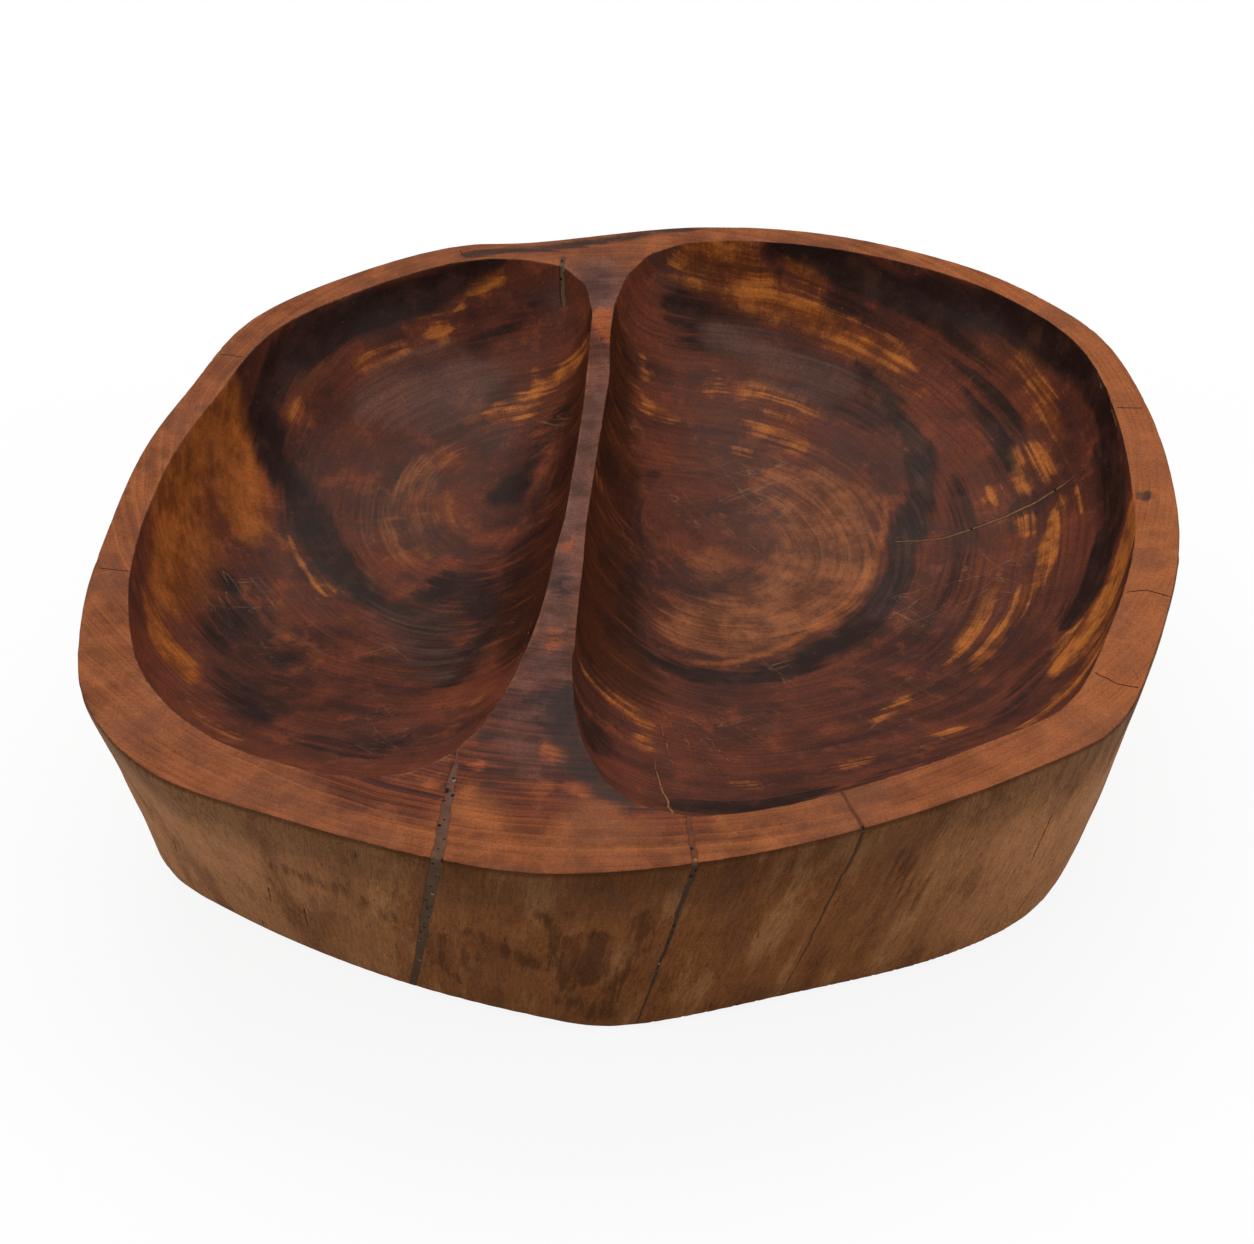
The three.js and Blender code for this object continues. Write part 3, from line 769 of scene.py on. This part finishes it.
left_pith = (-0.036, 0.052, 0)
right_pith = (0.021, 0.036, 0)
heart = add_node(
    tree, "Mix", {0: painted("right_bay"), 4: left_pith, 5: right_pith}, data_type="VECTOR",
).outputs[1]
drift = add_node(tree, "TexNoise", {"Vector": place, "Scale": 22.0, "Detail": 3.0}).outputs["Color"]
drift = scaled(vectors("SUBTRACT", drift, (0.5, 0.5, 0.5)), (0.007, 0.007, 0))
from_heart = scaled(vectors("SUBTRACT", place, heart), (1, 1, 0))
ring = vectors("LENGTH", vectors("ADD", from_heart, drift))
bearing = vectors("NORMALIZE", from_heart)
bearing_parts = add_node(tree, "SeparateXYZ", {0: bearing}).outputs


def along_rays(across_scale, along_scale):
    """Coordinates that run slowly outwards from the heart and quickly round it."""
    return add_node(tree, "CombineXYZ", {
        0: times(bearing_parts[0], across_scale),
        1: times(bearing_parts[1], across_scale),
        2: times(ring, along_scale),
    }).outputs[0]


rays = noise(along_rays(75, 75), 1.0, 4.0, 0.7)
hair_rays = noise(along_rays(130, 150), 1.0, 3.0, 0.65)
broad_rings = noise(along_rays(0.7, 110), 1.0, 3.0, 0.55)
off_pith = ramp(ring, 0.006, 0.036)
rings = maths("SUBTRACT", noise(along_rays(0.9, 420), 1.0, 3.0, 0.6), 0.5)
rings = maths("MULTIPLY_ADD", rings, off_pith, 0.5)
fine_rings = noise(along_rays(2.2, 1100), 1.0, 2.0, 0.6)
mottle = noise(place, 38.0, 6.0, 0.66)
cloud = noise(place, 95.0, 5.0, 0.65)
blotch = noise(place, 14.0, 3.0, 0.5)
pores = noise(place, 1500.0, 2.0, 0.6)
specks = noise(place, 760.0, 1.0, 0.5)
streaks = ramp(rings, 0.34, 0.66)

waver_turns = 22.0


def growth(distance, spacing, waver):
    """Dark lines of the wood's years at the given spacing, with a slow noise that varies it."""
    turns_of_years = total((distance, 2 * math.pi / spacing), (waver, waver_turns))
    return ramp(maths("SINE", turns_of_years), 0.0, 1.0)


bay_years = times(growth(ring, 0.0021, broad_rings), ramp(mottle, 0.38, 0.62, 0.05, 1.0))
bay_years = times(bay_years, off_pith)
dark_fringe = total((rays, 0.12), (streaks, 0.33), (mottle, 0.55))
amber_fringe = total((hair_rays, 0.15), (streaks, 0.27), (cloud, 0.3), (mottle, 0.28))

heartwood = blend(ramp(mottle, 0.38, 0.62), colour(56, 30, 24), colour(100, 48, 31))
heartwood = toned(heartwood, blotch, 0.38, 0.62, 0.4, (84, 46, 36))
heartwood = toned(heartwood, broad_rings, 0.52, 0.64, 0.3, (108, 54, 32))
heartwood = toned(heartwood, broad_rings, 0.48, 0.36, 0.4, (48, 28, 24))
heartwood = toned(heartwood, rings, 0.52, 0.68, 0.28, (118, 60, 35))
heartwood = toned(heartwood, cloud, 0.52, 0.68, 0.55, (116, 57, 33))
disc = frayed(painted("bay_disc"), dark_fringe, 4.0)
disc_wood = blend(ramp(cloud, 0.36, 0.66), colour(97, 54, 33), colour(135, 79, 47))
disc_wood = toned(disc_wood, rings, 0.5, 0.66, 0.4, (146, 86, 50))
disc_wood = toned(disc_wood, fine_rings, 0.46, 0.34, 0.35, (78, 42, 28))
heartwood = blend(times(disc, 0.92), heartwood, disc_wood)
amber = frayed(painted("bay_amber"), amber_fringe, 8.5)
amber_wood = blend(ramp(amber_fringe, 0.4, 0.6), colour(110, 55, 22), colour(162, 93, 40))
heartwood = blend(times(amber, ramp(cloud, 0.36, 0.56, 0.4, 1.0)), heartwood, amber_wood)
gold = times(ramp(painted("bay_gold"), 0.1, 0.8), ramp(mottle, 0.3, 0.6, 0.65, 1.0))
gold_wood = blend(ramp(cloud, 0.35, 0.65), colour(112, 58, 24), colour(148, 81, 33))
heartwood = blend(gold, heartwood, gold_wood)
line = times(ramp(painted("bay_line"), 0.2, 0.8), ramp(cloud, 0.36, 0.6, 0.15, 0.6))
heartwood = blend(line, heartwood, colour(156, 86, 40))
dark = frayed(painted("bay_dark"), dark_fringe, 6.0)
dark_wood = blend(ramp(cloud, 0.4, 0.66), colour(30, 19, 18), colour(48, 30, 26))
heartwood = blend(times(dark, 0.92), heartwood, dark_wood)
# Painted sheen: the grey strokes lighten and grey the bays' colour.
painted_bay_sheen = times(frayed(painted("bay_painted_sheen"), dark_fringe, 4.0), 0.65)
heartwood = blend(painted_bay_sheen, heartwood, colour(98, 68, 59))
heartwood = shaded(heartwood, total(
    (hair_rays, 0.15), (fine_rings, 0.45), (cloud, 0.85), (bay_years, -0.2), (1.0, 0.34),
))
fall = add_node(tree, "CombineXYZ", {
    0: total((parts[1], 260.0), (parts[0], 100.0)), 1: times(parts[2], 50.0),
}).outputs[0]
fall_streaks = noise(fall, 1.0, 5.0, 0.7)
flank_wood = blend(ramp(mottle, 0.36, 0.62), colour(34, 18, 12), colour(60, 27, 13))
flank_wood = toned(flank_wood, fall_streaks, 0.5, 0.72, 0.75, (104, 50, 22))
flank_wood = toned(flank_wood, fall_streaks, 0.44, 0.32, 0.7, (26, 14, 10))
flank = frayed(painted("flank"), dark_fringe, 4.0)
flank = times(flank, maths("SUBTRACT", 0.9, times(amber, 0.55)))
heartwood = blend(flank, heartwood, flank_wood)
heartwood = toned(heartwood, specks, 0.74, 0.8, 0.2, (150, 96, 62))

scratch_across, scratch_along = 170.0, 16.0


def fine_scratches(along_x, along_y):
    """Thin pale lines, where a noise drawn out along one direction passes its middle value."""
    drawn_out = add_node(tree, "CombineXYZ", {
        0: total((parts[0], -along_y * scratch_across), (parts[1], along_x * scratch_across)),
        1: total((parts[0], along_x * scratch_along), (parts[1], along_y * scratch_along)),
    }).outputs[0]
    level = maths("ABSOLUTE", maths("SUBTRACT", noise(drawn_out, 1.0, 2.0, 0.5), 0.5))
    return ramp(level, 0.007, 0.001)


marks = maths("MAXIMUM", fine_scratches(0.6, -0.8), fine_scratches(0.85, 0.53))
marks = times(marks, ramp(parts[2], 0.055, 0.047))
marks = times(marks, ramp(noise(place, 24.0, 2.0, 0.5), 0.54, 0.66, 0, 0.28))
heartwood = blend(marks, heartwood, colour(158, 112, 80))

between_piths = (-0.006, 0.03, 0)
from_middle = scaled(vectors("SUBTRACT", place, between_piths), (1, 1, 0))
year = vectors("LENGTH", vectors("ADD", from_middle, scaled(drift, (0.7, 0.7, 0))))
year_place = add_node(tree, "CombineXYZ", {
    0: times(year, 460.0), 1: times(blotch, 1.5),
}).outputs[0]
years = noise(year_place, 1.0, 3.0, 0.6)
flat_years = times(growth(year, 0.0024, years), ramp(mottle, 0.36, 0.62, 0.3, 1.0))
sapwood = blend(ramp(cloud, 0.34, 0.68), colour(108, 56, 29), colour(140, 78, 41))
sapwood = toned(sapwood, blotch, 0.42, 0.6, 0.4, (126, 70, 45))
sapwood = toned(sapwood, years, 0.48, 0.7, 0.5, (160, 92, 46))
sapwood = toned(sapwood, parts[0], 0.06, 0.13, 0.5, (160, 90, 46))
sapwood = toned(sapwood, mottle, 0.46, 0.34, 0.45, (98, 54, 34))
flat_red = blend(ramp(years, 0.38, 0.62), colour(64, 30, 23), colour(112, 53, 29))
flat_red = toned(flat_red, cloud, 0.52, 0.7, 0.5, (140, 72, 36))
flat_red = blend(times(flat_years, 0.55), flat_red, colour(50, 24, 18))
flats = blend(frayed(painted("flat_heart"), mottle, 3.0), sapwood, flat_red)
# Painted sheen on the crest and its flats.
flat_sheen_tint = blend(ramp(cloud, 0.35, 0.7), colour(70, 45, 41), colour(98, 65, 58))
flats = blend(times(painted("flat_painted_sheen"), 0.9), flats, flat_sheen_tint)
flat_bright = times(frayed(painted("flat_amber"), amber_fringe, 5.0), 0.7)
flats = blend(flat_bright, flats, colour(158, 80, 40))
flat_stain = times(frayed(painted("flat_dark"), dark_fringe, 5.0), 0.85)
flats = blend(flat_stain, flats, colour(42, 32, 31))
flats = shaded(flats, total((hair_rays, 0.2), (cloud, 0.5), (flat_years, -0.22), (1.0, 0.72)))
shown = blend(flat, heartwood, flats)
# Painted highlight: a pale line along the inner edges of the flats, where their rounding catches the
# light, fainter in the right bay.
painted_edge_highlight = times(ramp(painted("inner_edge"), 0.35, 0.9), ramp(cloud, 0.4, 0.6, 0.05, 0.26))
painted_edge_highlight = times(painted_edge_highlight, maths("MULTIPLY_ADD", painted("right_bay"), -0.65, 1.0))
shown = blend(painted_edge_highlight, shown, colour(160, 110, 82))

wall_lean = 0.176
lean = times(maths("SUBTRACT", parts[2], rim_height), -wall_lean)
upright = add_node(tree, "CombineXYZ", {0: maths("ADD", parts[0], lean), 1: parts[1]}).outputs[0]
round_wall = add_node(tree, "SeparateXYZ", {0: vectors("NORMALIZE", upright)}).outputs


def along_fibres(across_scale, along_scale):
    """Coordinates that run slowly down the wall and quickly round it."""
    return add_node(tree, "CombineXYZ", {
        0: times(round_wall[0], across_scale),
        1: times(round_wall[1], across_scale),
        2: times(parts[2], along_scale),
    }).outputs[0]


fibres = noise(along_fibres(190, 190), 1.0, 4.0, 0.7)
broad_fibres = noise(along_fibres(13, 22), 1.0, 5.0, 0.6)
flecks = noise(along_fibres(260, 240), 1.0, 1.0, 0.5)
# Painted light: the wall is painted lighter towards both sides and darker at the front middle.
painted_side_light = ramp(maths("ABSOLUTE", parts[0]), 0.035, 0.11)
outside = blend(painted_side_light, colour(112, 67, 33), colour(142, 96, 61))
outside = toned(outside, broad_fibres, 0.5, 0.64, 0.6, (146, 100, 62))
outside = toned(outside, broad_fibres, 0.48, 0.36, 0.5, (86, 50, 28))
tongues = ramp(noise(along_fibres(60, 75), 1.0, 4.0, 0.65), 0.36, 0.64)
wall_fringe = total((ramp(fibres, 0.36, 0.64), 0.3), (tongues, 0.45), (cloud, 0.25))
feathers = maths("MULTIPLY_ADD", maths("SUBTRACT", wall_fringe, 0.5), 0.9, painted("wall_dark"))
wall_figure = ramp(feathers, 0.3, 0.75)
outside = blend(times(wall_figure, 0.7), outside, colour(62, 32, 14))
arches = noise(along_fibres(11, 17), 1.0, 1.5, 0.5)
arches = growth(arches, 0.055, fibres)
arches = times(arches, ramp(mottle, 0.42, 0.6, 0, 0.3))
outside = shaded(outside, maths("SUBTRACT", 1.04, arches))
# Painted shade: the wall is painted darker towards its top, as shade under the rim's edge.
painted_shade_under_rim = ramp(parts[2], 0.042, 0.07, 1.0, 0.55)
outside = shaded(outside, times(painted_shade_under_rim, total((fibres, 1.2), (cloud, 0.4), (1.0, 0.2))))
outside = toned(outside, flecks, 0.3, 0.24, 0.8, (46, 27, 15))
outside = toned(outside, parts[2], 0.0698, 0.0716, 0.6, (58, 30, 15))
shown = blend(wall, shown, outside)
shown = shaded(shown, ramp(pores, 0.3, 0.65, 0.8, 1.1))
tree.links.new(shown, wood_shader.inputs["Base Color"])

inside_gloss = ramp(mottle, 0.3, 0.7, 0.36, 0.55)
rough = total((inside_gloss, 1.0), (wall, 0.35), (flat, 0.08))
tree.links.new(rough, wood_shader.inputs["Roughness"])
wood_shader.inputs["Specular IOR Level"].default_value = 0.1
wood_shader.inputs["Specular Tint"].default_value = (1.0, 0.8, 0.65, 1)
relief = total((fine_rings, 0.3), (pores, 0.5), (times(wall, fibres), 1.6))
soft_edges = add_node(tree, "Bevel", {"Radius": 0.0008}, samples=4).outputs[0]
bump = add_node(tree, "Bump", {
    "Height": relief, "Strength": 0.35, "Distance": 0.00035, "Normal": soft_edges,
})
tree.links.new(bump.outputs[0], wood_shader.inputs["Normal"])

# Painted shade: the open checks are dark as shade in the cracks; the scratches are pale marks.
for groove, deep_tint, pale_tint in (
    (check_shadow, colour(26, 16, 11), colour(58, 38, 26)),
    (scratch_mark, colour(84, 50, 34), colour(150, 106, 72)),
):
    groove.use_nodes = True
    tree = groove.node_tree
    groove_shader = tree.nodes["Principled BSDF"]
    patches = noise(add_node(tree, "TexCoord", {}).outputs["Object"], 260.0, 3.0, 0.6)
    groove_tint = blend(ramp(patches, 0.42, 0.6), deep_tint, pale_tint)
    tree.links.new(groove_tint, groove_shader.inputs["Base Color"])
    tree.links.new(ramp(patches, 0.3, 0.7, 0.75, 0.95), groove_shader.inputs["Roughness"])
    groove_shader.inputs["Specular IOR Level"].default_value = 0.1
pick(dish)
bpy.ops.object.shade_smooth_by_angle(angle=math.radians(32))
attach(dish, "root")
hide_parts("dish_body")

# Beads of filler: a gritty dark paste, sanded flush, with pits where grains fell out, painted near-black
# as shade, and a few pale grains. The pits of the wide bead, along both its edges on the rim and down
# the wall, are cut out and take the open checks' painted shade.
bead_surface = BVHTree.FromObject(front_left_bead, bpy.context.evaluated_depsgraph_get())
bpy.ops.object.select_all(action="DESELECT")
pit_count, pits_on_rim = 34, 10
rim_pit_y, rim_pit_step = -134, 3.4
wall_pit_y, wall_pit_top, wall_pit_step, pits_above = -135, 74, 2.9, 7
check_start_x, check_start_y, check_slant = -0.0485, -0.146, 0.09
pit_spread, pit_size, pit_variety = 1.05, 0.22, 0.1
pits = []
for number in range(pit_count):
    on_rim = number < pits_on_rim
    y = (rim_pit_y + rim_pit_step * number) * mm if on_rim else wall_pit_y * mm
    z = rim_height if on_rim else (wall_pit_top - wall_pit_step * (number - pits_above)) * mm
    middle = check_start_x + (y - check_start_y) * check_slant + lean_slope * (z - rim_height)
    x = middle + pit_spread * mm * math.sin(2.1 * number)
    start = Vector((x, y, above_dish)) if on_rim else Vector((x, before_dish, z))
    spot = bead_surface.ray_cast(start, Vector((0, 0, -1)) if on_rim else Vector((0, 1, 0)))[0]
    if spot is not None:
        size = (pit_size + pit_variety * math.sin(2.7 * number)) * mm
        bpy.ops.mesh.primitive_ico_sphere_add(subdivisions=2, radius=size, location=spot)
        pits.append(bpy.context.active_object)
for pit in pits:
    pit.select_set(True)
bpy.context.view_layer.objects.active = pits[0]
bpy.ops.object.join()
grain_pits = bpy.context.active_object
grain_pits.data.materials.clear()
grain_pits.data.materials.append(check_shadow)

# Tints of each bead on a bay's slope, the rim and the wall, and how far to the front (m) its slope ends.
bead_tints = {
    "front_left_check_filler": ((94, 64, 50), (94, 64, 50), (74, 54, 39), 0.09),
    "front_centre_check_filler": ((138, 96, 60), (100, 57, 37), (58, 42, 30), 0.1135),
    "front_right_check_filler": ((96, 56, 38), (94, 54, 35), (62, 41, 26), 0.08),
    "back_check_filler": ((88, 68, 48), (88, 68, 48), (88, 68, 48), 1.0),
    "right_bay_check_filler": ((118, 86, 56), (118, 86, 56), (118, 86, 56), 1.0),
}
for node_name, (slope_tint, rim_tint, wall_tint, slope_end) in bead_tints.items():
    grit = bpy.data.materials.new(node_name.replace("filler", "grit"))
    grit.use_nodes = True
    tree = grit.node_tree
    grit_shader = tree.nodes["Principled BSDF"]
    place = add_node(tree, "TexCoord", {}).outputs["Object"]
    bead_parts = add_node(tree, "SeparateXYZ", {0: place}).outputs
    outer = maths("LESS_THAN", bead_parts[1], -slope_end)
    below = ramp(bead_parts[2], 0.0716, 0.0706)
    tint = blend(outer, colour(*slope_tint), colour(*rim_tint))
    tint = blend(times(outer, below), tint, colour(*wall_tint))
    clumps = noise(place, 420.0, 4.0, 0.7)
    tint = shaded(tint, ramp(clumps, 0.32, 0.68, 0.72, 1.2))
    cells = add_node(tree, "TexVoronoi", {"Vector": place, "Scale": 820.0}).outputs
    chance = add_node(tree, "SeparateColor", {0: cells["Color"]}).outputs
    near_grain = ramp(cells["Distance"], 0.5, 0.3)
    # Painted shade: small pits in the grit are painted near-black as shade and sunk a little by the
    # bump.
    pit = times(near_grain, maths("LESS_THAN", chance[0], 0.16))
    grain = times(near_grain, maths("GREATER_THAN", chance[1], 0.98))
    tint = blend(pit, tint, colour(20, 14, 10))
    tint = blend(times(grain, 0.6), tint, colour(140, 120, 94))
    tree.links.new(tint, grit_shader.inputs["Base Color"])
    tree.links.new(ramp(clumps, 0.3, 0.7, 0.6, 0.85), grit_shader.inputs["Roughness"])
    grit_shader.inputs["Specular IOR Level"].default_value = 0.1
    height = maths("SUBTRACT", times(clumps, 0.5), pit)
    bump = add_node(tree, "Bump", {"Height": height, "Strength": 0.6, "Distance": 0.0004})
    tree.links.new(bump.outputs[0], grit_shader.inputs["Normal"])
    beads[node_name].data.materials.clear()
    beads[node_name].data.materials.append(grit)
apply_modifier(
    front_left_bead, "BOOLEAN", operation="DIFFERENCE", object=grain_pits, solver="MANIFOLD",
    material_mode="TRANSFER",
)
bpy.data.objects.remove(grain_pits)
for node_name, bead in beads.items():
    pick(bead)
    bpy.ops.object.shade_smooth_by_angle(angle=math.radians(40))
    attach(bead, "root")
    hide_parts(node_name)

# Floor and light: a white floor that keeps a faint shadow, a broad soft light above the back of the
# dish that gives its bays their sheen, a weaker one at each side in front for the wall, and a dim room.
floor_gap = 0.0002
floor_white = 0.88
bpy.ops.object.select_all(action="DESELECT")
bpy.ops.mesh.primitive_plane_add(size=6, location=(0, 0, -floor_gap))
floor = bpy.context.active_object
floor.name = "white_floor"
white = bpy.data.materials.new("white_floor")
white.use_nodes = True
tree = white.node_tree
floor_shader = tree.nodes["Principled BSDF"]
floor_shader.inputs["Base Color"].default_value = (0.92, 0.92, 0.92, 1)
floor_shader.inputs["Roughness"].default_value = 0.9
glow = add_node(tree, "Emission", {"Color": (1, 1, 1, 1), "Strength": 1.0})
seen = add_node(tree, "LightPath", {}).outputs["Is Camera Ray"]
share = times(seen, floor_white)
both = add_node(tree, "MixShader", {0: share, 1: floor_shader.outputs[0], 2: glow.outputs[0]})
tree.links.new(both.outputs[0], tree.nodes["Material Output"].inputs["Surface"])
floor.data.materials.append(white)

lit_spot = Vector((0, 0, 0.04))
for name, place_at, wide, deep, watts in (
    ("soft_back", (0.0, 0.7, 1.2), 1.5, 1.0, 13),
    ("soft_left", (-1.2, -0.45, 0.6), 1.0, 0.8, 7),
    ("soft_right", (1.2, -0.45, 0.6), 1.0, 0.8, 7),
):
    aim = (lit_spot - Vector(place_at)).to_track_quat("-Z", "Y").to_euler()
    bpy.ops.object.light_add(type="AREA", location=place_at, rotation=aim)
    lamp = bpy.context.active_object
    lamp.name = name
    lamp.data.shape = "RECTANGLE"
    lamp.data.size = wide
    lamp.data.size_y = deep
    lamp.data.energy = watts
world = bpy.data.worlds.new("even_room")
bpy.context.scene.world = world
world.use_nodes = True
world.node_tree.nodes["Background"].inputs["Color"].default_value = (1, 1, 1, 1)
world.node_tree.nodes["Background"].inputs["Strength"].default_value = 0.38

bpy.context.scene.view_settings.view_transform = "Standard"
